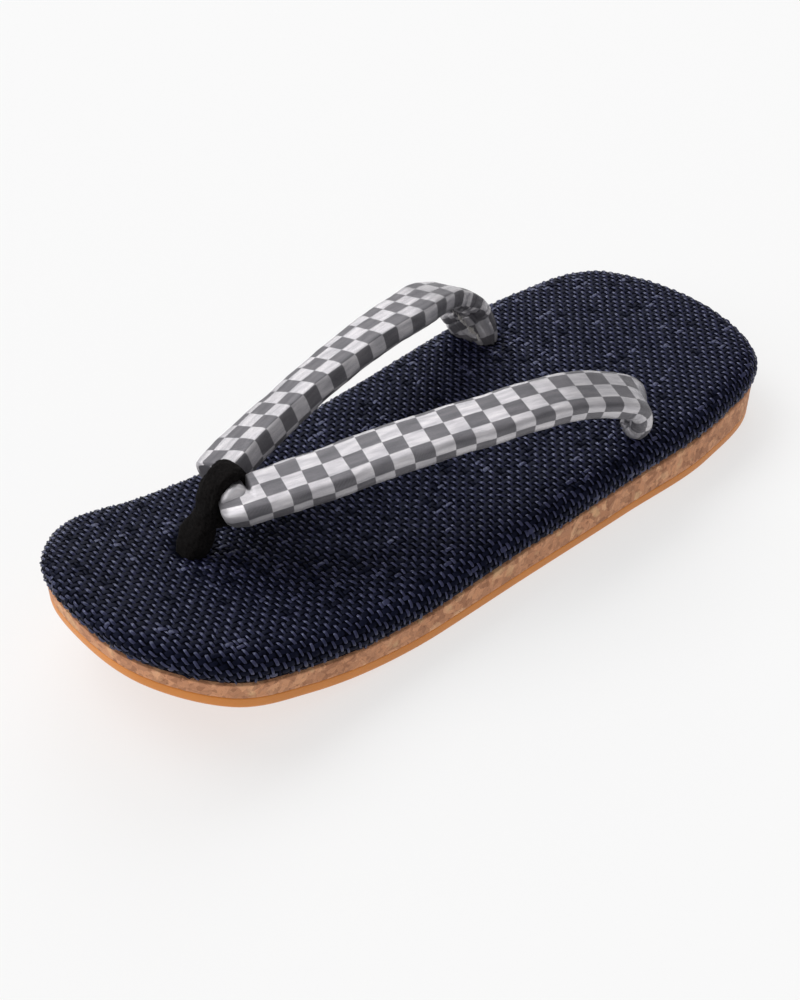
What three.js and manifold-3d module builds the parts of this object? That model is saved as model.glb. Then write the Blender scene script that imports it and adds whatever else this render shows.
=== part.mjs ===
// A left zori sandal: orange rubber outsole, cork wedge, cloth-covered footbed, padded checked
// straps joined at the front, and the black toe loop that ties them down to the front hole.
// Millimetres, +Z up, toe towards -Y, heel towards +Y. A left foot has its outer side at +X.
// The origin is on the floor, under the middle of the outline.
import * as THREE from "three";
import { mergeVertices } from "three/addons/utils/BufferGeometryUtils.js";
import Module from "manifold-3d";

const wasm = await Module();
wasm.setup();

// ---- driving sizes ----
const LENGTH = 255; // toe to heel of the sole
const GAP = 0.3; // glue line between one layer and the next
const OUTSOLE_T = 4.0;
const CORK_T_TOE = 3.9; // the cork is a wedge, thin at the toe
const CORK_T_HEEL = 11.2;
const FOOTBED_T = 9.2;
const TOE_LIFT = 24; // how high the very tip of the sole stands off the floor
const SPRING_SHARE = 0.35; // the share of the length that curls up off the floor
const AROUND = 72; // facets round the outline
const HOLE_R = 5.0; // the three holes the straps are drawn through
const FRONT_HOLE = { x: -9, y: -86 };
const STRAP_CLEARANCE = 0.3;

// The outline of the last, one row per section: y, reach of the outer side, reach of the inner side.
const OUTLINE = [
  { y: -123.6, outer: 21.5, inner: 21.5 },
  { y: -107.2, outer: 38.2, inner: 38.0 },
  { y: -84.3, outer: 42.4, inner: 41.4 },
  { y: -50.0, outer: 44.8, inner: 42.6 },
  { y: -5.0, outer: 45.6, inner: 44.4 },
  { y: 40.0, outer: 46.6, inner: 46.4 },
  { y: 80.4, outer: 46.9, inner: 46.9 },
  { y: 115.2, outer: 36.8, inner: 36.8 },
];

// The edge of the footbed, from its underside round to its flat top: out past the cork, height.
const FOOTBED_EDGE = [
  { out: -0.5, up: 0 },
  { out: -0.1, up: 0.5 },
  { out: 0.5, up: 2.0 },
  { out: 0.6, up: 3.7 },
  { out: 0.1, up: 5.4 },
  { out: -1.2, up: 7.0 },
  { out: -3.2, up: 8.2 },
  { out: -6.0, up: 8.9 },
  { out: -11.0, up: 9.2 },
];

// Each strap arm, one row per station from the front fold to the hole:
// x, y, z of the middle of the section, its width and thickness, and roll (outer edge down, degrees).
const OUTER_ARM = [
  { x: -1.6, y: -78.8, z: 39.4, width: 9.4, thick: 6.2, roll: 5 },
  { x: 1, y: -73.6, z: 41, width: 14.8, thick: 7.7, roll: 5 },
  { x: 5.4, y: -60, z: 42.2, width: 16.4, thick: 8.2, roll: 4 },
  { x: 9.1, y: -50.3, z: 43.1, width: 16.4, thick: 8.2, roll: 4 },
  { x: 12.2, y: -40.2, z: 44.2, width: 16.7, thick: 8.2, roll: 4 },
  { x: 16, y: -30.2, z: 45.6, width: 16.7, thick: 8.2, roll: 4 },
  { x: 19.7, y: -20.6, z: 46.7, width: 16.7, thick: 8, roll: 4 },
  { x: 26.6, y: -1, z: 47.8, width: 16.6, thick: 8, roll: 5 },
  { x: 29.6, y: 9.4, z: 47.9, width: 16.6, thick: 8, roll: 6 },
  { x: 32, y: 20.1, z: 47, width: 16.8, thick: 8, roll: 7 },
  { x: 34.3, y: 28, z: 45.6, width: 16.8, thick: 7.8, roll: 8 },
  { x: 36.8, y: 35.8, z: 43.4, width: 16.8, thick: 7.6, roll: 8 },
  { x: 38.4, y: 42.2, z: 40.6, width: 16.6, thick: 7.4, roll: 14 },
  { x: 38.6, y: 47, z: 36.8, width: 16.4, thick: 7.2, roll: 28 },
  { x: 37.8, y: 50.4, z: 32.2, width: 17, thick: 7, roll: 42 },
  { x: 36, y: 52.6, z: 27.8, width: 16.4, thick: 6.8, roll: 52 },
  { x: 33.6, y: 54.6, z: 23.4, width: 12.6, thick: 6.6, roll: 58 },
  { x: 31.6, y: 55.8, z: 17.5, width: 6.6, thick: 5.8, roll: 60 },
];
const INNER_ARM = [
  { x: -13.4, y: -71, z: 41.1, width: 14.8, thick: 8.4, roll: 19 },
  { x: -14.6, y: -67.5, z: 41.2, width: 15.8, thick: 9, roll: 19 },
  { x: -17.6, y: -59.6, z: 41.4, width: 15.2, thick: 9.2, roll: 19 },
  { x: -20.5, y: -49.8, z: 42, width: 14.9, thick: 9, roll: 19 },
  { x: -23.1, y: -39.8, z: 42.6, width: 14.8, thick: 8.8, roll: 19 },
  { x: -25.6, y: -29.9, z: 43.5, width: 14.9, thick: 8.6, roll: 18 },
  { x: -27.4, y: -19.9, z: 44.6, width: 15.3, thick: 8.2, roll: 15 },
  { x: -30.4, y: 0.2, z: 46.5, width: 15.8, thick: 8, roll: 11 },
  { x: -31.7, y: 10.2, z: 46.8, width: 16.4, thick: 8, roll: 9 },
  { x: -33.5, y: 20.1, z: 46.2, width: 16.8, thick: 8, roll: 6 },
  { x: -35.8, y: 28, z: 45.2, width: 16.8, thick: 7.8, roll: 4 },
  { x: -38, y: 35.4, z: 43.4, width: 16.8, thick: 7.6, roll: 4 },
  { x: -39.4, y: 41.8, z: 40.8, width: 16.6, thick: 7.4, roll: 10 },
  { x: -39.2, y: 46.6, z: 37, width: 16.4, thick: 7.2, roll: 26 },
  { x: -38.2, y: 49.6, z: 32.4, width: 17, thick: 7, roll: 42 },
  { x: -36.2, y: 51.6, z: 28, width: 16.4, thick: 6.8, roll: 52 },
  { x: -33.4, y: 53.4, z: 23.6, width: 12.6, thick: 6.6, roll: 58 },
  { x: -31.2, y: 54.6, z: 17.5, width: 6.6, thick: 5.8, roll: 60 },
];

// The short pad under the toe loop that joins the two arms' front ends.
const ARM_JOIN = [
  { x: -13, y: -70.2, z: 41, width: 8.4, thick: 5.6 },
  { x: -7.4, y: -73, z: 40.8, width: 8.4, thick: 5.6 },
  { x: -1.6, y: -74.6, z: 40.8, width: 8.4, thick: 5.6 },
];
// The toe loop, one row per station: over the top of the fold, down past its pinch to the hole.
const LOOP = [
  { x: -7.2, y: -67.6, z: 40.4, width: 6.6, thick: 3.4 },
  { x: -7, y: -69, z: 44.8, width: 7.4, thick: 3.8 },
  { x: -6.6, y: -71.4, z: 47.6, width: 8, thick: 4 },
  { x: -6.2, y: -74.4, z: 47.8, width: 8.2, thick: 4 },
  { x: -6.6, y: -77.3, z: 44.9, width: 8.2, thick: 4.2 },
  { x: -7.2, y: -79, z: 40.4, width: 8.2, thick: 4.4 },
  { x: -7.8, y: -79.4, z: 36.4, width: 7, thick: 4.8 },
  { x: -8.2, y: -80.8, z: 32.8, width: 9.6, thick: 6.2 },
  { x: -8.6, y: -83.4, z: 28.8, width: 11.2, thick: 7.4 },
  { x: -9, y: -85.6, z: 24.6, width: 8.6, thick: 7 },
  { x: -9, y: -86, z: 19.6, width: 6.4, thick: 6.2 },
];
// Its other leg, from the pinch back underneath the fold.
const LOOP_UNDER = [
  { x: -8, y: -79.6, z: 35.6, width: 5.6, thick: 4 },
  { x: -7.6, y: -78.6, z: 33.6, width: 7.4, thick: 4 },
  { x: -6.6, y: -75.6, z: 33.2, width: 8.4, thick: 3.6 },
  { x: -5, y: -70.6, z: 34.2, width: 8.4, thick: 3.4 },
  { x: -4, y: -66.6, z: 35.8, width: 7.6, thick: 3 },
];

// ---- the last ----
function share(y) {
  return THREE.MathUtils.clamp(y / LENGTH + 0.5, 0, 1);
}
function lift(y) {
  return TOE_LIFT * Math.max(1 - share(y) / SPRING_SHARE, 0) ** 2;
}
function corkTop(y) {
  return lift(y) + OUTSOLE_T + GAP + CORK_T_TOE + (CORK_T_HEEL - CORK_T_TOE) * share(y);
}
const half = LENGTH / 2;
const outlineCurve = new THREE.CatmullRomCurve3(
  [
    new THREE.Vector3(0, -half, 0),
    ...OUTLINE.map((row) => new THREE.Vector3(row.outer, row.y, 0)),
    new THREE.Vector3(0, half, 0),
    ...OUTLINE.map((row) => new THREE.Vector3(-row.inner, row.y, 0)).reverse(),
  ],
  true,
  "centripetal",
);
// Points evenly spaced round the outline, with the outward direction at each.
const outlinePoints = Array.from({ length: AROUND }, (_, i) => {
  const p = outlineCurve.getPointAt(i / AROUND);
  const t = outlineCurve.getTangentAt(i / AROUND);
  return { x: p.x, y: p.y, nx: t.y, ny: -t.x };
});

// A closed slab in the outline of the last. Its profile runs from the middle of the underside,
// round the edge, to the middle of the top; each row says how far in from the edge it lies and
// how high it stands.
function slab(profile, height) {
  const ringRow = (row, i) => new THREE.Vector2(i === 0 || i === profile.length - 1 ? 0 : 1, i);
  const geometry = new THREE.LatheGeometry(profile.map(ringRow), AROUND);
  const at = geometry.attributes.position;
  for (let seg = 0; seg <= AROUND; seg++) {
    const edge = outlinePoints[seg % AROUND];
    profile.forEach((row, i) => {
      const x = edge.x * row.scale + edge.nx * row.out;
      const y = edge.y * row.scale + edge.ny * row.out;
      at.setXYZ(seg * profile.length + i, x, y, height(x, y, row.up));
    });
  }
  return geometry;
}
const RINGS = [0, 0.16, 0.34, 0.52, 0.7, 0.86];
const flatRings = (up, out = 0) => RINGS.map((scale) => ({ scale, out: out * scale, up }));

function layer(edge, top, height) {
  const under = edge[0];
  return slab(
    [
      ...flatRings(under.up, under.out),
      ...edge.map((row) => ({ scale: 1, out: row.out, up: row.up })),
      ...flatRings(top, edge.at(-1).out).reverse(),
    ],
    height,
  );
}

// ---- booleans ----
function solid(geometry) {
  const bare = geometry.clone();
  bare.deleteAttribute("normal");
  bare.deleteAttribute("uv");
  const merged = mergeVertices(bare, 1e-3);
  const corner = merged.attributes.position;
  const triVerts = [];
  for (let i = 0; i < merged.index.count; i += 3) {
    const [a, b, c] = [0, 1, 2].map((k) => merged.index.getX(i + k));
    if (a !== b && b !== c && c !== a) triVerts.push(a, b, c);
  }
  return new wasm.Manifold(
    new wasm.Mesh({
      numProp: 3,
      vertProperties: new Float32Array(corner.array),
      triVerts: new Uint32Array(triVerts),
    }),
  );
}
function geometryOf(manifold) {
  const mesh = manifold.getMesh();
  const geometry = new THREE.BufferGeometry();
  geometry.setAttribute("position", new THREE.BufferAttribute(mesh.vertProperties, 3));
  geometry.setIndex(new THREE.BufferAttribute(mesh.triVerts, 1));
  geometry.computeVertexNormals();
  return geometry;
}

// ---- padded arms ----
// A padded section: a nearly flat top with a sharp fold at each side, and a rounded underside
// that stands fuller on the inner side.
const power = (v, e) => (Math.abs(v) < 1e-5 ? 0 : Math.sign(v) * Math.abs(v) ** e);
function section(turn, width, thick) {
  const c = Math.cos(turn);
  const s = Math.sin(turn);
  return {
    across: (power(c, s > 0 ? 0.26 : c > 0 ? 0.85 : 0.5) * width) / 2,
    up: (power(s, s > 0 ? 0.42 : 0.75) * thick) / 2,
  };
}
// Sweeps the section through the rows of a table. sideways points to the arm's outer edge.
function padded(rows, around, steps, grow, sideways) {
  const path = new THREE.CatmullRomCurve3(
    rows.map((row) => new THREE.Vector3(row.x, row.y, row.z)),
    false,
    "centripetal",
  );
  const tube = new THREE.CylinderGeometry(1, 1, 1, around, steps, false);
  const at = tube.attributes.position;
  const frames = [];
  for (let i = 0; i <= steps; i++) {
    const t = i / steps;
    const k = Math.min(Math.floor(t * (rows.length - 1)), rows.length - 2);
    const w = t * (rows.length - 1) - k;
    const mix = (name) => THREE.MathUtils.lerp(rows[k][name] ?? 0, rows[k + 1][name] ?? 0, w);
    const along = path.getTangent(t);
    const side = sideways(t).clone();
    side.addScaledVector(along, -side.dot(along)).normalize();
    const up = new THREE.Vector3().crossVectors(side, along).normalize();
    if (up.dot(sideways.up(t)) < 0) up.negate();
    const roll = THREE.MathUtils.degToRad(mix("roll"));
    frames.push({
      middle: path.getPoint(t),
      side: side.clone().multiplyScalar(Math.cos(roll)).addScaledVector(up, -Math.sin(roll)),
      up: up.clone().multiplyScalar(Math.cos(roll)).addScaledVector(side, Math.sin(roll)),
      width: mix("width") + grow * 2,
      thick: mix("thick") + grow * 2,
      along,
      end: i === 0 ? -grow : i === steps ? grow : 0,
    });
  }
  for (let i = 0; i < at.count; i++) {
    const step = Math.round((0.5 - at.getY(i)) * steps);
    const reach = Math.hypot(at.getX(i), at.getZ(i));
    const f = frames[step];
    const turn = Math.atan2(at.getZ(i), at.getX(i));
    const spot = section(turn, f.width, f.thick);
    const p = f.middle
      .clone()
      .addScaledVector(f.side, reach > 0.5 ? spot.across : 0)
      .addScaledVector(f.up, reach > 0.5 ? spot.up : 0)
      .addScaledVector(f.along, f.end);
    at.setXYZ(i, p.x, p.y, p.z);
  }
  const made = solid(tube);
  if (made.volume() > 0) return made;
  const index = tube.index;
  for (let i = 0; i < index.count; i += 3) {
    const b = index.getX(i + 1);
    index.setX(i + 1, index.getX(i + 2));
    index.setX(i + 2, b);
  }
  return solid(tube);
}
const Z_UP = new THREE.Vector3(0, 0, 1);
function armSide(rows, outward) {
  const plan = new THREE.CatmullRomCurve3(
    rows.map((row) => new THREE.Vector3(row.x, row.y, 0)),
    false,
    "centripetal",
  );
  const f = (t) => {
    const along = plan.getTangent(THREE.MathUtils.clamp(t, 0.05, 0.8));
    return new THREE.Vector3(along.y, -along.x, 0).multiplyScalar(outward);
  };
  f.up = () => new THREE.Vector3(0, 0.35, 1);
  return f;
}
function straps(grow) {
  const outer = padded(OUTER_ARM, 18, 34, grow, armSide(OUTER_ARM, 1));
  const inner = padded(INNER_ARM, 18, 34, grow, armSide(INNER_ARM, -1));
  const lengthwise = () => new THREE.Vector3(0.4, 0.9, 0);
  lengthwise.up = () => Z_UP;
  return outer.add(inner).add(padded(ARM_JOIN, 16, 8, grow, lengthwise));
}
function toeLoop(grow) {
  const across = () => new THREE.Vector3(1, 0, 0);
  across.up = (t) => (t < 0.25 ? new THREE.Vector3(0, 1, 0) : new THREE.Vector3(0, -1, 0.3));
  const over = padded(LOOP, 16, 30, grow, across);
  const facingUp = () => new THREE.Vector3(1, 0, 0);
  facingUp.up = () => new THREE.Vector3(0, -0.3, 1);
  return over.add(padded(LOOP_UNDER, 12, 12, grow, facingUp));
}

// ---- the pieces ----
const part = new THREE.Group();
part.name = "zori_sandal";
function piece(name, geometry, color, roughness) {
  const material = new THREE.MeshStandardMaterial({ color, roughness, metalness: 0 });
  const mesh = new THREE.Mesh(geometry, material);
  mesh.name = name;
  part.add(mesh);
}

const OUTSOLE_EDGE = [
  { out: -1.4, up: 0 },
  { out: -0.4, up: 0.4 },
  { out: 0, up: 1.3 },
  { out: 0, up: OUTSOLE_T },
];
piece(
  "outsole",
  geometryOf(solid(layer(OUTSOLE_EDGE, OUTSOLE_T, (x, y, up) => lift(y) + up))),
  0xd98a3c,
  0.45,
);

const CORK_EDGE = [
  { out: 0, up: 0 },
  { out: 0, up: 1 },
];
const corkFoot = (y) => lift(y) + OUTSOLE_T + GAP;
const corkHeight = (x, y, up) => THREE.MathUtils.lerp(corkFoot(y), corkTop(y), up);
piece("cork_wedge", geometryOf(solid(layer(CORK_EDGE, 1, corkHeight))), 0xc79a6b, 0.85);

const strapBody = straps(0);
const strapRoom = straps(STRAP_CLEARANCE);
const loopBody = toeLoop(0).subtract(strapRoom);

function hole(x, y) {
  const drill = new THREE.CylinderGeometry(HOLE_R, HOLE_R, 60, 28);
  drill.rotateX(Math.PI / 2);
  drill.translate(x, y, 20);
  return solid(drill);
}
const footbedFoot = (y) => corkTop(y) + GAP;
const footbedHeight = (x, y, up) => footbedFoot(y) + up;
const board = solid(layer(FOOTBED_EDGE, FOOTBED_T, footbedHeight));
const footbed = board
  .subtract(hole(OUTER_ARM.at(-1).x, OUTER_ARM.at(-1).y))
  .subtract(hole(INNER_ARM.at(-1).x, INNER_ARM.at(-1).y))
  .subtract(hole(FRONT_HOLE.x, FRONT_HOLE.y))
  .subtract(strapRoom)
  .subtract(toeLoop(STRAP_CLEARANCE));
piece("footbed", geometryOf(footbed), 0x1d2238, 0.8);
piece("hanao_straps", geometryOf(strapBody), 0xa9a6ad, 0.4);
piece("toe_loop", geometryOf(loopBody), 0x0c0c0e, 0.95);

export default part;
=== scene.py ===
import bpy
import math
import numpy as np
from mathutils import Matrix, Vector


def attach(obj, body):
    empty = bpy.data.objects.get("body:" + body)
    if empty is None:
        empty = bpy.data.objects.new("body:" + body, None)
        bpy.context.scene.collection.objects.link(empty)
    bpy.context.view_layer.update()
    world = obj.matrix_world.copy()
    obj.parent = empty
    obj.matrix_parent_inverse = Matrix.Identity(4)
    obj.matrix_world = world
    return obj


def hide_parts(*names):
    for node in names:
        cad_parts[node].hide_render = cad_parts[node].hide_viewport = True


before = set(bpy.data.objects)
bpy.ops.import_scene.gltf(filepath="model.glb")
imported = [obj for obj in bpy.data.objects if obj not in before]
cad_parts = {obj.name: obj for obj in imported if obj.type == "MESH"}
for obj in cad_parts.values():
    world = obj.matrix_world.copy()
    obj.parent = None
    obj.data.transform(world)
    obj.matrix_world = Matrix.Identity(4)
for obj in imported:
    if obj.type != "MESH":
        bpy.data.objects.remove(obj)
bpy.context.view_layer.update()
MM = 0.001
dice = np.random.default_rng(7)

# ---------------------------------------------------------------- sizes of the last
LENGTH = 255.0
OUTSOLE_T = 4.0
GLUE = 0.3
CORK_TOE, CORK_HEEL = 3.9, 11.2
TOE_LIFT, SPRING_SHARE = 24.0, 0.35

# y, reach of the outer side, reach of the inner side
OUTLINE = [
    (-123.6, 21.5, 21.5),
    (-107.2, 38.2, 38.0),
    (-84.3, 42.4, 41.4),
    (-50.0, 44.8, 42.6),
    (-5.0, 45.6, 44.4),
    (40.0, 46.6, 46.4),
    (80.4, 46.9, 46.9),
    (115.2, 36.8, 36.8),
]
# how far out past the cork, how high above it: the footbed's edge from its flat top to its foot
FOOTBED_EDGE = [
    (-16.0, 9.25),
    (-11.0, 9.2),
    (-6.0, 8.9),
    (-3.2, 8.2),
    (-1.2, 7.0),
    (0.1, 5.4),
    (0.6, 3.7),
    (0.5, 2.0),
    (-0.1, 0.5),
    (-0.5, 0.05),
]
HOLES = {"front": (-9.0, -86.0), "outer": (31.6, 55.8), "inner": (-31.2, 54.6)}

# strap arms, from the front fold to the hole: x, y, z, width, thickness, roll in degrees
OUTER_ARM = [
    (-1.6, -78.8, 39.4, 9.4, 6.2, 5),
    (1.0, -73.6, 41.0, 14.8, 7.7, 5),
    (5.4, -60.0, 42.2, 16.4, 8.2, 4),
    (9.1, -50.3, 43.1, 16.4, 8.2, 4),
    (12.2, -40.2, 44.2, 16.7, 8.2, 4),
    (16.0, -30.2, 45.6, 16.7, 8.2, 4),
    (19.7, -20.6, 46.7, 16.7, 8.0, 4),
    (26.6, -1.0, 47.8, 16.6, 8.0, 5),
    (29.6, 9.4, 47.9, 16.6, 8.0, 6),
    (32.0, 20.1, 47.0, 16.8, 8.0, 7),
    (34.3, 28.0, 45.6, 16.8, 7.8, 8),
    (36.8, 35.8, 43.4, 16.8, 7.6, 8),
    (38.4, 42.2, 40.6, 16.6, 7.4, 14),
    (38.6, 47.0, 36.8, 16.4, 7.2, 28),
    (37.8, 50.4, 32.2, 17.0, 7.0, 42),
    (36.0, 52.6, 27.8, 16.4, 6.8, 52),
    (33.6, 54.6, 23.4, 12.6, 6.6, 58),
    (31.6, 55.8, 17.5, 6.6, 5.8, 60),
]
INNER_ARM = [
    (-13.4, -71.0, 41.1, 14.8, 8.4, 19),
    (-14.6, -67.5, 41.2, 15.8, 9.0, 19),
    (-17.6, -59.6, 41.4, 15.2, 9.2, 19),
    (-20.5, -49.8, 42.0, 14.9, 9.0, 19),
    (-23.1, -39.8, 42.6, 14.8, 8.8, 19),
    (-25.6, -29.9, 43.5, 14.9, 8.6, 18),
    (-27.4, -19.9, 44.6, 15.3, 8.2, 15),
    (-30.4, 0.2, 46.5, 15.8, 8.0, 11),
    (-31.7, 10.2, 46.8, 16.4, 8.0, 9),
    (-33.5, 20.1, 46.2, 16.8, 8.0, 6),
    (-35.8, 28.0, 45.2, 16.8, 7.8, 4),
    (-38.0, 35.4, 43.4, 16.8, 7.6, 4),
    (-39.4, 41.8, 40.8, 16.6, 7.4, 10),
    (-39.2, 46.6, 37.0, 16.4, 7.2, 26),
    (-38.2, 49.6, 32.4, 17.0, 7.0, 42),
    (-36.2, 51.6, 28.0, 16.4, 6.8, 52),
    (-33.4, 53.4, 23.6, 12.6, 6.6, 58),
    (-31.2, 54.6, 17.5, 6.6, 5.8, 60),
]
# toe loop, over the fold and down to the hole: x, y, z, width, thickness
LOOP = [
    (-7.2, -67.6, 40.4, 6.6, 3.4),
    (-7.0, -69.0, 44.8, 7.4, 3.8),
    (-6.6, -71.4, 47.6, 8.0, 4.0),
    (-6.2, -74.4, 47.8, 8.2, 4.0),
    (-6.6, -77.3, 44.9, 8.2, 4.2),
    (-7.2, -79.0, 40.4, 8.2, 4.4),
    (-7.8, -79.4, 36.4, 7.0, 4.8),
    (-8.2, -80.8, 32.8, 9.6, 6.2),
    (-8.6, -83.4, 28.8, 11.2, 7.4),
    (-9.0, -85.6, 24.6, 8.6, 7.0),
    (-9.0, -86.0, 19.6, 6.4, 6.2),
]
LOOP_UNDER = [
    (-8.0, -79.6, 35.6, 5.6, 4.0),
    (-7.6, -78.6, 33.6, 7.4, 4.0),
    (-6.6, -75.6, 33.2, 8.4, 3.6),
    (-5.0, -70.6, 34.2, 8.4, 3.4),
    (-4.0, -66.6, 35.8, 7.6, 3.0),
]
# the short pad under the loop that joins the arms
ARM_JOIN = [
    (-13.0, -70.2, 41.0, 8.4, 5.6),
    (-7.4, -73.0, 40.8, 8.4, 5.6),
    (-1.6, -74.6, 40.8, 8.4, 5.6),
]
CHECK_LONG, CHECK_WIDE = 6.1, 5.5  # one cell of the checked cloth
TAIL = 36.0  # how far back from the hole an arm starts to bend down
KNOB = (-1.0, -74.6, 43.4)  # the folded corner at the front end of the outer arm
KNOB_SIZE = (3.9, 2.6, 2.5)
KNOB_LEAN = (0.35, 0.75, 0.30)
# how deep the cloth of the arms is drawn in
BEND_CREASE, BEND_SPAN, CREASE_PITCH = 1.6, 8.5, 4.1
TAIL_FOLD, SEAM_DEPTH = 1.3, 1.0
SLIT_FROM_FRONT, SLIT_DEPTH = 9.0, 2.6
GATHER, GATHER_SPAN = 0.35, 9.0
STRAND = 1.95  # from one strand of the footbed's weave to the next

# the camera's place, and what its lens is aimed at
CAMERA_AT = (243.9, -236.8, 287.3)
AIM = (8.6, -21.9, 18.0)
LENS = 50.0
FLOOR_GLOW = 0.64  # the floor is a lit white table, which keeps its shadows pale


# ---------------------------------------------------------------- curves and surfaces
def spline(points, closed, samples):
    """Evenly spaced points on a centripetal Catmull-Rom curve, as three.js draws it."""
    p = np.asarray(points, float)
    n = len(p)
    spans = n if closed else n - 1
    out = []
    for i in range(spans):
        b, c = p[i], p[(i + 1) % n]
        a = p[(i - 1) % n] if closed or i > 0 else 2 * b - c
        d = p[(i + 2) % n] if closed or i + 2 < n else 2 * c - b
        k0, k1, k2 = (max(np.linalg.norm(v) ** 0.5, 1e-4) for v in (b - a, c - b, d - c))
        m0 = ((b - a) / k0 - (c - a) / (k0 + k1) + (c - b) / k1) * k1
        m1 = ((c - b) / k1 - (d - b) / (k1 + k2) + (d - c) / k2) * k1
        t = np.linspace(0, 1, 40, endpoint=False)[:, None]
        out.append(
            (2 * t**3 - 3 * t**2 + 1) * b
            + (t**3 - 2 * t**2 + t) * m0
            + (3 * t**2 - 2 * t**3) * c
            + (t**3 - t**2) * m1
        )
    fine = np.vstack(out + [p[:1] if closed else p[-1:]])
    run = np.concatenate([[0], np.cumsum(np.linalg.norm(np.diff(fine, axis=0), axis=1))])
    at = np.linspace(0, run[-1], samples, endpoint=not closed)
    return np.stack([np.interp(at, run, fine[:, k]) for k in range(p.shape[1])], -1), at


def outline(samples):
    """Points round the outline of the last, and the outward direction at each."""
    rows = [(0, -LENGTH / 2)]
    rows += [(outer, y) for y, outer, _ in OUTLINE]
    rows += [(0, LENGTH / 2)]
    rows += [(-inner, y) for y, _, inner in reversed(OUTLINE)]
    points, _ = spline(rows, True, samples)
    t = np.roll(points, -1, 0) - np.roll(points, 1, 0)
    t /= np.linalg.norm(t, axis=1)[:, None]
    return points, np.stack([t[:, 1], -t[:, 0]], -1)


def share(y):
    return np.clip(np.asarray(y) / LENGTH + 0.5, 0, 1)


def lift(y):
    return TOE_LIFT * np.maximum(1 - share(y) / SPRING_SHARE, 0) ** 2


def cork_top(y):
    return lift(y) + OUTSOLE_T + GLUE + CORK_TOE + (CORK_HEEL - CORK_TOE) * share(y)


def ripple(x, y, size, seed=0):
    """Soft unevenness between about -1 and 1, with bumps about size across."""
    total = 0
    for k in range(5):
        a = 2.4 * k + seed
        across = (x * math.cos(a) + y * math.sin(a)) * 2.2 / size
        total = total + np.sin(across * (1 + 0.23 * k) + 1.7 * a)
    return total / 3.2


def mesh_object(name, verts, faces):
    mesh = bpy.data.meshes.new(name)
    mesh.from_pydata([tuple(v) for v in np.asarray(verts) * MM], [], faces)
    mesh.validate()
    mesh.polygons.foreach_set("use_smooth", [True] * len(mesh.polygons))
    piece = bpy.data.objects.new(name, mesh)
    bpy.context.scene.collection.objects.link(piece)
    return piece


def rings_to_faces(rings, around):
    faces = []
    for i in range(rings - 1):
        for j in range(around):
            a = i * around + j
            b = i * around + (j + 1) % around
            faces.append((a, b, b + around, a + around))
    return faces


def slab(name, profile, height, samples=288):
    """A closed slab in the outline of the last. profile: scale of the plan, reach out, height."""
    points, out = outline(samples)
    rows = []
    for scale, reach, up in profile:
        plan = points * scale + out * reach
        z = height(plan[:, 0], plan[:, 1], up)
        rows.append(np.column_stack([plan, z]))
    verts = np.vstack(rows)
    faces = rings_to_faces(len(rows), samples)
    faces.append(tuple(range(samples))[::-1])
    faces.append(tuple(range((len(rows) - 1) * samples, len(rows) * samples)))
    return mesh_object(name, verts, faces)


# ---------------------------------------------------------------- materials
def material(name):
    m = bpy.data.materials.new(name)
    m.use_nodes = True
    nodes = m.node_tree.nodes
    links = m.node_tree.links
    return m, nodes, links, nodes["Principled BSDF"]


def node(nodes, kind, **settings):
    n = nodes.new(kind)
    for key, value in settings.items():
        if hasattr(n, key):
            setattr(n, key, value)
        else:
            n.inputs[key.replace("_", " ")].default_value = value
    return n


def ramp(nodes, stops):
    n = nodes.new("ShaderNodeValToRGB")
    while len(n.color_ramp.elements) < len(stops):
        n.color_ramp.elements.new(0.5)
    for element, (at, colour) in zip(n.color_ramp.elements, stops):
        element.position = at
        element.color = (*colour, 1)
    return n


def mix(nodes, links, factor, a, b, blend="MIX"):
    n = nodes.new("ShaderNodeMix")
    n.data_type = "RGBA"
    n.blend_type = blend
    for socket, value in ((n.inputs[0], factor), (n.inputs[6], a), (n.inputs[7], b)):
        if isinstance(value, bpy.types.NodeSocket):
            links.new(value, socket)
        elif isinstance(value, tuple):
            socket.default_value = (*value, 1)
        else:
            socket.default_value = value
    return n.outputs[2]


def bump(nodes, links, bsdf, height, strength, distance):
    n = node(nodes, "ShaderNodeBump", Strength=strength, Distance=distance * MM)
    links.new(height, n.inputs["Height"])
    links.new(n.outputs["Normal"], bsdf.inputs["Normal"])


def rubber():
    m, nodes, links, bsdf = material("gum_rubber")
    place = node(nodes, "ShaderNodeTexCoord")
    cloud = node(nodes, "ShaderNodeTexNoise", Scale=38.0, Detail=5.0, Roughness=0.6)
    grain = node(nodes, "ShaderNodeTexNoise", Scale=1500.0, Detail=3.0)
    for n in (cloud, grain):
        links.new(place.outputs["Object"], n.inputs["Vector"])
    tone = ramp(nodes, [(0.3, (0.60, 0.205, 0.028)), (0.7, (0.70, 0.25, 0.038))])
    links.new(cloud.outputs["Fac"], tone.inputs["Fac"])
    links.new(tone.outputs["Color"], bsdf.inputs["Base Color"])
    bsdf.inputs["Roughness"].default_value = 0.46
    bsdf.inputs["Subsurface Weight"].default_value = 0.08
    bsdf.inputs["Subsurface Radius"].default_value = (0.004, 0.002, 0.001)
    bump(nodes, links, bsdf, grain.outputs["Fac"], 0.25, 0.12)
    return m


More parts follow.
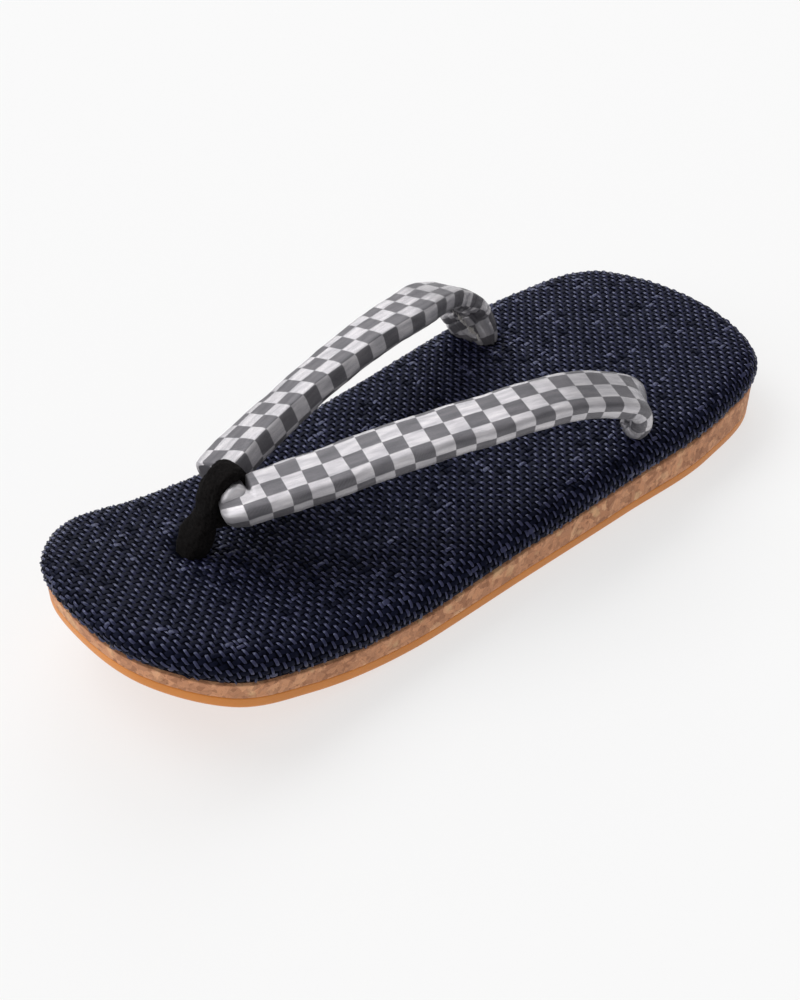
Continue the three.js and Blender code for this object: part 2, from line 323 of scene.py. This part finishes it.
def cork():
    m, nodes, links, bsdf = material("cork")
    place = node(nodes, "ShaderNodeTexCoord")
    warp = node(nodes, "ShaderNodeTexNoise", Scale=260.0, Detail=4.0)
    links.new(place.outputs["Object"], warp.inputs["Vector"])
    bend = nodes.new("ShaderNodeMixRGB")
    bend.blend_type = "ADD"
    bend.inputs["Fac"].default_value = 0.0022
    links.new(place.outputs["Object"], bend.inputs["Color1"])
    links.new(warp.outputs["Color"], bend.inputs["Color2"])
    chips = node(nodes, "ShaderNodeTexVoronoi", Scale=300.0)
    edges = node(nodes, "ShaderNodeTexVoronoi", feature="DISTANCE_TO_EDGE", Scale=300.0)
    flakes = node(nodes, "ShaderNodeTexVoronoi", Scale=640.0)
    pits = node(nodes, "ShaderNodeTexNoise", Scale=900.0, Detail=6.0, Roughness=0.7)
    patch = node(nodes, "ShaderNodeTexNoise", Scale=150.0, Detail=3.0)
    for n in (chips, edges, flakes):
        links.new(bend.outputs["Color"], n.inputs["Vector"])
    for n in (pits, patch):
        links.new(place.outputs["Object"], n.inputs["Vector"])
    tone = ramp(
        nodes,
        [
            (0.0, (0.48, 0.225, 0.118)),
            (0.3, (0.56, 0.265, 0.140)),
            (0.7, (0.61, 0.295, 0.158)),
            (0.9, (0.67, 0.345, 0.19)),
            (1.0, (0.72, 0.41, 0.23)),
        ],
    )
    pick = node(nodes, "ShaderNodeSeparateColor")
    links.new(chips.outputs["Color"], pick.inputs["Color"])
    links.new(pick.outputs["Red"], tone.inputs["Fac"])
    fleck = ramp(nodes, [(0.0, (0.5, 0.42, 0.36)), (0.55, (1, 1, 1)), (1.0, (1.12, 1.08, 1.0))])
    pick2 = node(nodes, "ShaderNodeSeparateColor")
    links.new(flakes.outputs["Color"], pick2.inputs["Color"])
    links.new(pick2.outputs["Green"], fleck.inputs["Fac"])
    base = mix(nodes, links, 0.65, tone.outputs["Color"], fleck.outputs["Color"], "MULTIPLY")
    line = ramp(nodes, [(0.0, (0.62, 0.5, 0.42)), (0.05, (1, 1, 1))])
    links.new(edges.outputs["Distance"], line.inputs["Fac"])
    base = mix(nodes, links, 0.3, base, line.outputs["Color"], "MULTIPLY")
    dark = ramp(nodes, [(0.3, (0.3, 0.18, 0.12)), (0.42, (1, 1, 1))])
    links.new(pits.outputs["Fac"], dark.inputs["Fac"])
    base = mix(nodes, links, 0.8, base, dark.outputs["Color"], "MULTIPLY")
    pale = ramp(nodes, [(0.60, (0, 0, 0)), (0.68, (0.55, 0.55, 0.55))])
    links.new(patch.outputs["Fac"], pale.inputs["Fac"])
    base = mix(nodes, links, pale.outputs["Color"], base, (0.74, 0.47, 0.25))
    links.new(base, bsdf.inputs["Base Color"])
    bsdf.inputs["Roughness"].default_value = 0.82
    bump(nodes, links, bsdf, pits.outputs["Fac"], 0.5, 0.35)
    return m


def strand_cloth(name, dark, light, gloss, shine):
    m, nodes, links, bsdf = material(name)
    place = node(nodes, "ShaderNodeTexCoord")
    cloud = node(nodes, "ShaderNodeTexNoise", Scale=420.0, Detail=3.0)
    fibre = node(nodes, "ShaderNodeTexNoise", Scale=4200.0, Detail=2.0)
    for n in (cloud, fibre):
        links.new(place.outputs["Object"], n.inputs["Vector"])
    tone = ramp(nodes, [(0.35, dark), (0.7, light)])
    links.new(cloud.outputs["Fac"], tone.inputs["Fac"])
    links.new(tone.outputs["Color"], bsdf.inputs["Base Color"])
    bsdf.inputs["Roughness"].default_value = gloss
    bsdf.inputs["Specular IOR Level"].default_value = shine
    bsdf.inputs["Specular Tint"].default_value = (0.62, 0.70, 1.0, 1)
    bump(nodes, links, bsdf, fibre.outputs["Fac"], 0.3, 0.08)
    return m


def checked_cloth():
    """Satin checks and twill checks in turn. The UV map counts cells: along, then across."""
    m, nodes, links, bsdf = material("checked_cloth")
    uv = node(nodes, "ShaderNodeTexCoord")
    check = node(nodes, "ShaderNodeTexChecker", Scale=1.0)
    links.new(uv.outputs["UV"], check.inputs["Vector"])
    twill = node(nodes, "ShaderNodeTexWave", wave_type="BANDS", bands_direction="DIAGONAL", Scale=8.5)
    weft = node(nodes, "ShaderNodeTexWave", wave_type="BANDS", bands_direction="Y", Scale=14.0)
    for n in (twill, weft):
        links.new(uv.outputs["UV"], n.inputs["Vector"])
    # painted sheen: the streaks of light the satin floats catch along the arm are painted into the
    # colour, lighter and darker in turn
    stretch = node(nodes, "ShaderNodeMapping")
    stretch.inputs["Scale"].default_value = (0.5, 2.6, 1.0)
    links.new(uv.outputs["UV"], stretch.inputs["Vector"])
    sheen_streaks = node(nodes, "ShaderNodeTexNoise", Scale=1.1, Detail=3.0)
    links.new(stretch.outputs["Vector"], sheen_streaks.inputs["Vector"])
    dark = ramp(nodes, [(0.2, (0.045, 0.043, 0.050)), (0.8, (0.20, 0.193, 0.21))])
    links.new(twill.outputs["Fac"], dark.inputs["Fac"])
    pale = ramp(nodes, [(0.0, (0.42, 0.405, 0.425)), (1.0, (0.60, 0.585, 0.605))])
    links.new(weft.outputs["Fac"], pale.inputs["Fac"])
    base = mix(nodes, links, check.outputs["Fac"], dark.outputs["Color"], pale.outputs["Color"])
    # painted sheen: this ramp lightens and darkens the cloth's colour in streaks along the arm
    soft = ramp(nodes, [(0.3, (0.76, 0.76, 0.78)), (0.7, (1.24, 1.23, 1.22))])
    links.new(sheen_streaks.outputs["Fac"], soft.inputs["Fac"])
    base = mix(nodes, links, 1.0, base, soft.outputs["Color"], "MULTIPLY")
    links.new(base, bsdf.inputs["Base Color"])
    rough = ramp(nodes, [(0.0, (0.52, 0.52, 0.52)), (1.0, (0.27, 0.27, 0.27))])
    links.new(check.outputs["Fac"], rough.inputs["Fac"])
    links.new(rough.outputs["Color"], bsdf.inputs["Roughness"])
    bsdf.inputs["Metallic"].default_value = 0.35
    bsdf.inputs["Sheen Weight"].default_value = 0.1
    height = mix(nodes, links, check.outputs["Fac"], twill.outputs["Color"], weft.outputs["Color"])
    bump(nodes, links, bsdf, height, 0.18, 0.12)
    return m


def felt():
    m, nodes, links, bsdf = material("black_felt")
    place = node(nodes, "ShaderNodeTexCoord")
    fuzz = node(nodes, "ShaderNodeTexNoise", Scale=1400.0, Detail=5.0, Roughness=0.75)
    links.new(place.outputs["Object"], fuzz.inputs["Vector"])
    tone = ramp(nodes, [(0.35, (0.0030, 0.0026, 0.0026)), (0.75, (0.0125, 0.0108, 0.0108))])
    links.new(fuzz.outputs["Fac"], tone.inputs["Fac"])
    links.new(tone.outputs["Color"], bsdf.inputs["Base Color"])
    bsdf.inputs["Roughness"].default_value = 1.0
    bsdf.inputs["Specular IOR Level"].default_value = 0.03
    bsdf.inputs["Sheen Weight"].default_value = 0.02
    bsdf.inputs["Sheen Roughness"].default_value = 0.6
    bump(nodes, links, bsdf, fuzz.outputs["Fac"], 0.6, 0.5)
    return m


def plain(name, colour, roughness):
    m, nodes, links, bsdf = material(name)
    place = node(nodes, "ShaderNodeTexCoord")
    grain = node(nodes, "ShaderNodeTexNoise", Scale=3000.0, Detail=2.0)
    links.new(place.outputs["Object"], grain.inputs["Vector"])
    low = tuple(c * 0.8 for c in colour)
    tone = ramp(nodes, [(0.3, low), (0.7, colour)])
    links.new(grain.outputs["Fac"], tone.inputs["Fac"])
    links.new(tone.outputs["Color"], bsdf.inputs["Base Color"])
    bsdf.inputs["Roughness"].default_value = roughness
    return m


def finish_piece(piece, mat, slot, *cad_nodes):
    piece.data.materials.append(mat)
    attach(piece, "root")
    if cad_nodes:
        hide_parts(*cad_nodes)
    return piece


# ---------------------------------------------------------------- sole
def build_outsole():
    # how far out past the outline, how high: round the foot, up the side, over the top corner
    edge = [(-1.5, 0.0), (-0.8, 0.12), (-0.3, 0.45), (-0.05, 0.95)]
    edge += [(0.0, 1.6), (0.0, 3.4), (-0.12, 3.9), (-0.4, OUTSOLE_T)]
    inner = [0.05, 0.3, 0.55, 0.8, 0.93]
    profile = [(s, -1.5 * s, 0.0) for s in inner]
    profile += [(1, reach, up) for reach, up in edge]
    profile += [(s, -0.4 * s, OUTSOLE_T) for s in reversed(inner)]
    piece = slab("outsole_rubber", profile, lambda x, y, up: lift(y) + up)
    finish_piece(piece, rubber(), "gum_rubber", "outsole")


def build_cork():
    rows = 9
    profile = [(s, 0.0, 0.0) for s in (0.05, 0.3, 0.55, 0.8, 0.93)]
    profile += [(1, 0.0, k / (rows - 1)) for k in range(rows)]
    profile += [(s, 0.0, 1.0) for s in (0.93, 0.8, 0.55, 0.3, 0.05)]

    def height(x, y, up):
        foot = lift(y) + OUTSOLE_T + GLUE * 0.4
        return foot + (cork_top(y) - foot) * up

    piece = slab("cork_wedge_block", profile, height, 420)
    for v in piece.data.vertices:
        x, y, z = (c / MM for c in v.co)
        push = 0.06 * ripple(x + z, y - z, 1.7, 3) + 0.05 * ripple(x, y + 2 * z, 0.8, 9)
        flat = Vector((x / 46.0, y / 127.0, 0))
        if flat.length > 0.5:
            v.co += flat.normalized() * push * MM
    finish_piece(piece, cork(), "cork", "cork_wedge")


# ---------------------------------------------------------------- footbed
EDGE = np.array(FOOTBED_EDGE)
EDGE_RUN = np.concatenate([[0], np.cumsum(np.linalg.norm(np.diff(EDGE, axis=0), axis=1))])
RIM, RIM_OUT = outline(720)


def over_board(a, b, raise_by):
    """Lays points of the flat cloth over the board: (a, b) on the cloth, raised off it."""
    p = np.stack([a, b], -1)
    near = np.empty(len(p), int)
    for start in range(0, len(p), 4000):
        block = p[start : start + 4000]
        near[start : start + 4000] = ((block[:, None] - RIM[None]) ** 2).sum(2).argmin(1)
    foot, out = RIM[near], RIM_OUT[near]
    inside = -((p - foot) * out).sum(1)
    along = -EDGE[0, 0] - inside
    on_edge = along > 0
    run = np.clip(along, 0, EDGE_RUN[-1])
    reach = np.interp(run, EDGE_RUN, EDGE[:, 0])
    up = np.interp(run, EDGE_RUN, EDGE[:, 1])
    dr, du = (np.interp(run + 0.3, EDGE_RUN, c) - np.interp(run - 0.3, EDGE_RUN, c) for c in EDGE.T)
    size = np.hypot(dr, du) + 1e-9
    # on the edge the cloth follows the profile; across the top it is level
    slide = (p - foot) - out * ((p - foot) * out).sum(1)[:, None]
    edge_plan = foot + out * reach[:, None] + slide
    plan = np.where(on_edge[:, None], edge_plan, p)
    normal = np.column_stack([out * (-du / size)[:, None], dr / size])
    normal = np.where(on_edge[:, None], normal, (0.0, 0.0, 1.0))
    z = cork_top(plan[:, 1]) + GLUE + np.where(on_edge, up, EDGE[0, 1])
    z = z + 0.16 * ripple(plan[:, 0], plan[:, 1], 17, 5) * np.clip(up / 9, 0, 1)
    for x, y in HOLES.values():
        d = np.hypot(plan[:, 0] - x, plan[:, 1] - y)
        z = z - 2.4 * np.exp(-((d / 5.2) ** 2)) + 0.35 * np.exp(-(((d - 9.5) / 3.0) ** 2))
    points = np.column_stack([plan, z]) + normal * np.asarray(raise_by)[:, None]
    return points, along


def build_footbed():
    samples = 288
    points, out = outline(samples)
    rows = [(s, -16.0) for s in (0.04, 0.2, 0.36, 0.52, 0.66, 0.78, 0.88, 0.96)]
    verts = []
    for s, reach in rows:
        plan = (points + out * reach) * s
        verts.append(over_board(plan[:, 0], plan[:, 1], np.full(samples, -0.25))[0])
    for run in np.linspace(0, EDGE_RUN[-1], 26):
        plan = points + out * (EDGE[0, 0] + run)
        verts.append(over_board(plan[:, 0], plan[:, 1], np.full(samples, -0.25))[0])
    under = verts[-1].copy()
    for s in (0.95, 0.6, 0.1):
        flat = under * (s, s, 1)
        flat[:, 2] = cork_top(flat[:, 1]) + GLUE * 0.5
        verts.append(flat)
    count = len(verts)
    faces = [f[::-1] for f in rings_to_faces(count, samples)]
    faces.append(tuple(range(samples)))
    faces.append(tuple(range((count - 1) * samples, count * samples))[::-1])
    piece = mesh_object("footbed_board", np.vstack(verts), faces)
    cloth = strand_cloth("board_cloth", (0.001, 0.0012, 0.003), (0.002, 0.0025, 0.006), 0.9, 0.05)
    finish_piece(piece, cloth, "woven_cover", "footbed")


def build_weave():
    """The coarse plain weave: every strand shows as a row of small pillows, over and under in turn."""
    reach_x, reach_y = 60.0, 142.0
    cols = int(2 * reach_x / STRAND)
    rows = int(2 * reach_y / STRAND)
    i, j = np.meshgrid(np.arange(cols), np.arange(rows))
    i, j = i.ravel(), j.ravel()
    a = (i - cols / 2) * STRAND + dice.normal(0, 0.07, len(i))
    b = (j - rows / 2) * STRAND + dice.normal(0, 0.07, len(i))
    _, along = over_board(a, b, np.zeros(len(a)))
    keep = along < EDGE_RUN[-1] - 1.0
    for x, y in HOLES.values():
        keep &= np.hypot(a - x, b - y) > 3.4
    a, b, i, j = a[keep], b[keep], i[keep], j[keep]
    warp = (i + j) % 2 == 0
    long_steps = np.linspace(-1, 1, 5)
    wide_steps = np.linspace(-1, 1, 3)
    u, v = np.meshgrid(long_steps, wide_steps)
    u, v = u.ravel(), v.ravel()
    n = len(a)
    length = STRAND * dice.uniform(0.70, 0.88, n)
    width = STRAND * np.where(warp, dice.uniform(0.18, 0.29, n), dice.uniform(0.30, 0.42, n))
    crown = np.where(warp, dice.uniform(0.42, 0.72, n), dice.uniform(0.22, 0.42, n))
    skew = dice.normal(0, 0.10, n)
    tip = dice.normal(0, 0.05, n)
    du = u[None] * length[:, None]
    dv = v[None] * width[:, None] * (1 - 0.25 * np.abs(u[None]) ** 2)
    dv = dv + skew[:, None] * du
    h = crown[:, None] * (1 - u[None] ** 2) ** 0.8 * (1 - 0.75 * v[None] ** 2) - 0.12
    h = h - 0.35 * np.abs(u[None]) ** 4 + tip[:, None] * u[None]
    pa = a[:, None] + np.where(warp[:, None], du, dv)
    pb = b[:, None] + np.where(warp[:, None], dv, du)
    points, _ = over_board(pa.ravel(), pb.ravel(), h.ravel())
    per = len(u)
    grid = []
    for r in range(2):
        for c in range(4):
            k = r * 5 + c
            grid.append((k, k + 1, k + 6, k + 5))
    base = (np.arange(n) * per)[:, None, None]
    quads = base + np.array(grid)[None]
    flip = quads[:, :, ::-1]
    quads = np.where(warp[:, None, None], quads, flip).reshape(-1, 4)
    mesh = bpy.data.meshes.new("footbed_weave")
    mesh.from_pydata((points * MM).tolist(), [], quads.tolist())
    mesh.polygons.foreach_set("use_smooth", [True] * len(mesh.polygons))
    piece = bpy.data.objects.new("footbed_weave", mesh)
    bpy.context.scene.collection.objects.link(piece)
    # one navy strand in three copies: a darker copy with painted shade, a lit copy, and a brighter copy
    # with painted glints
    lit_and_shaded_strands = [
        strand_cloth("strand_painted_shade", (0.0022, 0.0026, 0.009), (0.005, 0.006, 0.018), 0.5, 0.10),
        strand_cloth("strand_painted_lit", (0.015, 0.016, 0.044), (0.034, 0.034, 0.078), 0.32, 0.48),
        strand_cloth("strand_painted_glint", (0.022, 0.022, 0.055), (0.044, 0.044, 0.092), 0.27, 0.60),
    ]
    for tone in lit_and_shaded_strands:
        mesh.materials.append(tone)
    # the strands across the shoe take the lit copy, some the painted glint copy; the strands along it
    # take the painted shade copy
    pick = np.where(warp, dice.choice(3, n, p=(0.05, 0.83, 0.12)), dice.choice(3, n, p=(0.95, 0.05, 0.0)))
    mesh.polygons.foreach_set("material_index", np.repeat(pick, len(grid)).astype(np.int32))
    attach(piece, "root")


# ---------------------------------------------------------------- straps
def power(v, e):
    return np.sign(v) * np.abs(v) ** e


def padded_section(turn, width, thick):
    """A flat-topped pad with a sharp fold at each side and a rounded underside."""
    c, s = np.cos(turn), np.sin(turn)
    across = power(c, np.where(s > 0, 0.26, np.where(c > 0, 0.85, 0.5))) * width / 2
    up = power(s, np.where(s > 0, 0.42, 0.75)) * thick / 2
    return across, up


def arm_frames(table, outward, steps):
    """Middle, side, up, direction, width, thickness and run along one strap arm."""
    rows = np.array(table, float)
    middle, run = spline(rows[:, :3], False, steps)
    plan = middle[:, :2]
    knots = [np.linalg.norm(middle - row[:3], axis=1).argmin() for row in rows]
    knots = np.maximum.accumulate(knots)
    order = np.arange(steps)
    width, thick, roll = (np.interp(order, knots, rows[:, k]) for k in (3, 4, 5))
    along = np.gradient(middle, axis=0)
    along /= np.linalg.norm(along, axis=1)[:, None]
    flat = np.gradient(plan, axis=0)
    flat[int(steps * 0.84) :] = flat[int(steps * 0.84)]
    flat[: int(steps * 0.04)] = flat[int(steps * 0.04)]
    side = np.column_stack([flat[:, 1], -flat[:, 0], np.zeros(steps)]) * outward
    side -= along * (side * along).sum(1)[:, None]
    side /= np.linalg.norm(side, axis=1)[:, None]
    up = np.cross(side, along)
    up *= np.sign((up * (0, 0.35, 1)).sum(1))[:, None]
    angle = np.radians(roll)[:, None]
    rolled_side = side * np.cos(angle) - up * np.sin(angle)
    rolled_up = up * np.cos(angle) + side * np.sin(angle)
    return middle, rolled_side, rolled_up, along, width, thick, run


def arm_lumps(turn, a, u, width, outward, from_front, from_back):
    """How far the cloth of an arm stands out at one section, where a and u are across and up."""
    around = len(turn)
    run = np.full(around, from_front)
    underside = u < 0
    # the stuffing sits a little unevenly
    lump = 0.14 * ripple(run, a * 1.5 + 40 * outward, 9, 2)
    lump += 0.05 * ripple(run, a * 2 + u, 3.2, 6)
    # creases fan over the inside of the bend, where the arm turns down to its hole
    bend = np.exp(-(((from_back - TAIL * 0.62) / BEND_SPAN) ** 2))
    where = np.clip(0.5 - 0.9 * np.sin(turn) + 0.25 * np.sin(turn * 0.5 + 1), 0, 1)
    crease = (1 - np.abs(np.sin(math.pi * (from_back + 0.16 * a) / CREASE_PITCH))) ** 3
    lump -= bend * where * (BEND_CREASE * crease - 0.3)
    # two longer folds run either side of the seam, from the pinch of the bend towards the hole
    tail = np.clip((from_back - 4) / 5, 0, 1) * np.clip((TAIL * 0.8 - from_back) / 6, 0, 1)
    spread = from_back - 14
    for centre in (-0.27 * width - 0.06 * spread, 0.25 * width + 0.05 * spread):
        lump -= TAIL_FOLD * tail * np.exp(-(((a - centre) / 0.8) ** 2)) * underside
        lump += 0.6 * tail * np.exp(-(((a - centre) / 2.4) ** 2)) * underside
    # a slit is left beside the corner folded in at the front of the outer arm
    if outward > 0:
        slit = np.exp(-(((from_front - SLIT_FROM_FRONT) / 0.6) ** 2))
        slit = slit * np.clip((-a - 1.5) / 2.0, 0, 1)
        lump -= SLIT_DEPTH * slit * (u > 0)
    # gathers run down into the hole
    lump += np.exp(-((from_back / GATHER_SPAN) ** 2)) * GATHER * np.sin(turn * 8)
    # the cloth's edges butt together along the middle of the underside
    seam = np.exp(-((a / 0.6) ** 2)) * underside
    lump -= SEAM_DEPTH * seam * np.clip((from_back - 1) / 3, 0, 1)
    return lump


def arm_mesh(name, table, outward, fold_at, cells_past_fold, end_reach, end_power, tip):
    """One strap arm. fold_at is the share of the way round where the row of checks is counted from;
    the front end closes over end_reach to tip, a share of the section's size."""
    steps, around = 420, 96
    middle, side, up, along, width, thick, run = arm_frames(table, outward, steps)
    turn = np.linspace(0, 2 * math.pi, around, endpoint=False) + math.pi * 1.5
    fold = int(fold_at * around)
    verts, cells = [], []
    for k in range(steps):
        close = np.clip(run[k] / end_reach, 0, 1)
        cap = tip + (1 - tip) * max(1 - (1 - close) ** end_power, 0.0) ** (1 / end_power)
        a, u = padded_section(turn, width[k], thick[k])
        walk = np.hypot(np.diff(np.append(a, a[0])), np.diff(np.append(u, u[0])))
        round_it = np.concatenate([[0], np.cumsum(walk)])
        cells.append((round_it - round_it[fold]) / CHECK_WIDE + cells_past_fold)
        lump = arm_lumps(turn, a, u, width[k], outward, run[k], run[-1] - run[k])
        puff = cap * (1 + lump / (thick[k] / 2 + 2))
        verts.append(middle[k] + side[k] * (a * puff)[:, None] + up[k] * (u * puff)[:, None])
    faces = rings_to_faces(steps, around)
    first, last = tuple(range(around)), tuple(range((steps - 1) * around, steps * around))
    faces += [first[::-1], last]
    if outward > 0:
        faces = [f[::-1] for f in faces]
    piece = mesh_object(name, np.vstack(verts), faces)
    end = verts[0] - middle[0]
    cells_of_arm(piece, run, cells, around, end @ side[0], end @ up[0])
    return piece


def cells_of_arm(piece, run, cells, around, end_across, end_up):
    """Charts the checks: rows round the arm, and the flat front end with cells of its own."""
    uv = piece.data.uv_layers.new(name="cells")
    for polygon in piece.data.polygons:
        ids = list(polygon.vertices)
        is_quad = len(ids) == 4
        columns = [v % around for v in ids]
        wraps = is_quad and max(columns) == around - 1 and min(columns) == 0
        for loop, v in zip(polygon.loop_indices, ids):
            k, j = divmod(v, around)
            across = cells[k][around] if wraps and j == 0 else cells[k][j]
            uv.data[loop].uv = (run[k] / CHECK_LONG + 20, across + 20)
            if not is_quad and k == 0:
                spot = end_across[j] / CHECK_LONG * 1.1, end_up[j] / CHECK_WIDE * 0.55
                uv.data[loop].uv = (spot[0] + 21.75, spot[1] + 20.5)


def seam_threads(name, table, outward, count):
    """Frayed thread ends along the butted seam on the underside of an arm's tail."""
    steps = 240
    middle, side, up, along, _, thick, run = arm_frames(table, outward, steps)
    verts, faces = [], []
    for n in range(count):
        back = dice.uniform(6.5, TAIL * 0.62)
        k = int(np.interp(run[-1] - back, run, np.arange(steps)))
        thin = dice.uniform(0.07, 0.16) * (1.7 if back < 12 else 1.0)
        spot = middle[k] - up[k] * (thick[k] / 2 - 0.15) + side[k] * dice.normal(0, 0.35)
        aim = along[k] * dice.uniform(0.5, 1.0) + side[k] * dice.normal(0, 0.35)
        aim = aim - up[k] * dice.uniform(0, 0.5)
        reach = dice.uniform(0.9, 2.2)
        start = len(verts)
        for t in np.linspace(0, 1, 5):
            at = spot + aim * reach * t - up[k] * 0.5 * math.sin(t * 3.1) + side[k] * 0.3 * t * t
            for q in range(3):
                angle = q * 2.1
                edge = side[k] * math.cos(angle) + up[k] * math.sin(angle)
                verts.append(at + edge * thin * (1.1 - t * 0.7))
        for t in range(4):
            for q in range(3):
                i, j = start + t * 3 + q, start + t * 3 + (q + 1) % 3
                faces.append((i, j, j + 3, i + 3))
    return mesh_object(name, np.array(verts), faces)


def fold_knob(name, at, size, lean):
    """The small rolled corner of cloth left where an arm's front end is folded in."""
    rings, around = 22, 28
    verts = []
    lean = Vector(lean).normalized()
    side = lean.cross(Vector((0, 0, 1))).normalized()
    top = side.cross(lean)
    for i in range(rings):
        v = math.pi * (i + 0.5) / rings
        for j in range(around):
            u = 2 * math.pi * j / around
            r = math.sin(v) ** 0.8
            wrinkle = 1 + 0.10 * math.sin(3 * u + 2.2 * v)
            wrinkle -= 0.20 * math.exp(-(((u - 1.2 - 0.5 * v) / 0.25) ** 2))
            along = math.cos(v) * size[0]
            spot = lean * along + side * (math.cos(u) * r * size[1] * wrinkle)
            spot += top * (math.sin(u) * r * size[2] * wrinkle + 0.5 * math.sin(v * 1.3))
            verts.append([at[c] + spot[c] for c in range(3)])
    faces = rings_to_faces(rings, around)
    faces += [tuple(range(around))[::-1], tuple(range((rings - 1) * around, rings * around))]
    piece = mesh_object(name, np.array(verts), faces)
    uv = piece.data.uv_layers.new(name="cells")
    for polygon in piece.data.polygons:
        for loop, v in zip(polygon.loop_indices, polygon.vertices):
            i, j = divmod(v, around)
            uv.data[loop].uv = (0.1 + 0.8 * i / rings, 1.1 + 1.6 * abs(j / around - 0.5))
    return piece


def build_straps():
    cloth = checked_cloth()
    thread = plain("seam_thread", (0.74, 0.71, 0.68), 0.8)
    outer = arm_mesh("strap_arm_outer", OUTER_ARM, 1, 0.375, -0.55, 3.6, 2.4, 0.30)
    inner = arm_mesh("strap_arm_inner", INNER_ARM, -1, 0.625, 0.0, 0.9, 2.2, 0.82)
    join = band_mesh("strap_join", ARM_JOIN, 40, 32)
    knob = fold_knob("strap_fold_knob", KNOB, KNOB_SIZE, KNOB_LEAN)
    for piece in (outer, inner, join, knob):
        finish_piece(piece, cloth, "checked_cloth", "hanao_straps")
    for side, table, outward in (("outer", OUTER_ARM, 1), ("inner", INNER_ARM, -1)):
        threads = seam_threads("seam_thread_" + side, table, outward, 60)
        finish_piece(threads, thread, "checked_cloth")


# ---------------------------------------------------------------- toe loop
def band_frames(table, steps):
    rows = np.array(table, float)
    middle, run = spline(rows[:, :3], False, steps)
    knots = np.maximum.accumulate([np.linalg.norm(middle - r[:3], axis=1).argmin() for r in rows])
    width, thick = (np.interp(np.arange(steps), knots, rows[:, k]) for k in (3, 4))
    along = np.gradient(middle, axis=0)
    along /= np.linalg.norm(along, axis=1)[:, None]
    lead = np.array([1.0, 0.0, 0.0]) if abs(along[steps // 2][0]) < 0.8 else np.array([0.4, 0.9, 0.0])
    side = lead - along * (along @ lead)[:, None]
    side /= np.linalg.norm(side, axis=1)[:, None]
    return middle, side, np.cross(side, along), along, width, thick, run


def band_mesh(name, table, steps, around, fuzz=0.0):
    middle, side, up, along, width, thick, run = band_frames(table, steps)
    turn = np.linspace(0, 2 * math.pi, around, endpoint=False)
    verts = []
    for k in range(steps):
        close = np.clip(min(run[k], run[-1] - run[k]) / 2.5, 0.05, 1)
        cap = (1 - (1 - close) ** 2) ** 0.5
        a = power(np.cos(turn), 0.75) * width[k] / 2 * cap
        u = power(np.sin(turn), 0.75) * thick[k] / 2 * cap
        rough = fuzz * ripple(np.full(around, run[k]), turn * 4, 3.0, 4)
        rough = rough + fuzz * 0.6 * ripple(np.full(around, run[k]), turn * 5, 1.1, 8)
        grow = 1 + (rough + dice.normal(0, fuzz * 0.18, around)) / (thick[k] / 2)
        verts.append(middle[k] + side[k] * (a * grow)[:, None] + up[k] * (u * grow)[:, None])
    faces = [f[::-1] for f in rings_to_faces(steps, around)]
    faces += [tuple(range(around)), tuple(range((steps - 1) * around, steps * around))[::-1]]
    piece = mesh_object(name, np.vstack(verts), faces)
    uv = piece.data.uv_layers.new(name="cells")
    for polygon in piece.data.polygons:
        for loop, v in zip(polygon.loop_indices, polygon.vertices):
            k, j = divmod(v, around)
            uv.data[loop].uv = (run[k] / CHECK_LONG, 1.05 + 1.8 * abs(j / around - 0.5))
    return piece


def build_loop():
    cloth = felt()
    over = band_mesh("toe_loop_over", LOOP, 220, 64, 0.2)
    under = band_mesh("toe_loop_under", LOOP_UNDER, 70, 40, 0.15)
    for piece in (over, under):
        finish_piece(piece, cloth, "black_felt", "toe_loop")


# ---------------------------------------------------------------- room, light and camera
def build_floor():
    mesh = bpy.data.meshes.new("floor")
    s = 12.0
    mesh.from_pydata([(-s, -s, 0), (s, -s, 0), (s, s, 0), (-s, s, 0)], [], [(0, 1, 2, 3)])
    floor = bpy.data.objects.new("floor", mesh)
    bpy.context.scene.collection.objects.link(floor)
    m, nodes, links, bsdf = material("floor_white")
    bsdf.inputs["Base Color"].default_value = (0.28, 0.28, 0.28, 1)
    bsdf.inputs["Roughness"].default_value = 0.9
    bsdf.inputs["Emission Color"].default_value = (1, 1, 1, 1)
    bsdf.inputs["Emission Strength"].default_value = FLOOR_GLOW
    bsdf.inputs["Specular IOR Level"].default_value = 0.1
    floor.data.materials.append(m)


def look_at(obj, target):
    direction = Vector(target) - obj.location
    obj.rotation_euler = direction.to_track_quat("-Z", "Y").to_euler()


def sun(name, towards, strength, spread):
    """A broad, far softbox: towards points from the shoe to it, spread is its width in degrees."""
    data = bpy.data.lights.new(name, "SUN")
    data.energy = strength
    data.angle = math.radians(spread)
    light = bpy.data.objects.new(name, data)
    bpy.context.scene.collection.objects.link(light)
    light.location = towards
    look_at(light, (0, 0, 0))


def build_light():
    world = bpy.data.worlds.new("studio")
    bpy.context.scene.world = world
    world.use_nodes = True
    world.node_tree.nodes["Background"].inputs["Color"].default_value = (1, 1, 1, 1)
    world.node_tree.nodes["Background"].inputs["Strength"].default_value = 0.36
    sun("key_left", (-0.8, -0.27, 1.0), 1.5, 40)
    sun("back_left", (-0.75, 0.55, 0.75), 0.95, 40)
    sun("front_fill", (0.45, -0.7, 0.9), 0.35, 70)
    sun("toe_fill", (-0.2, -1.0, 0.40), 0.8, 50)
    bpy.context.scene.view_settings.view_transform = "Standard"
    bpy.context.scene.view_settings.look = "None"


def build_camera():
    data = bpy.data.cameras.new("camera")
    data.sensor_fit = "VERTICAL"
    data.sensor_height = 36.0
    data.lens = LENS
    data.clip_start = 0.01
    camera = bpy.data.objects.new("camera", data)
    bpy.context.scene.collection.objects.link(camera)
    camera.location = Vector(CAMERA_AT) * MM
    look_at(camera, Vector(AIM) * MM)
    bpy.context.scene.camera = camera


build_outsole()
build_cork()
build_footbed()
build_weave()
build_straps()
build_loop()
build_floor()
build_light()
build_camera()
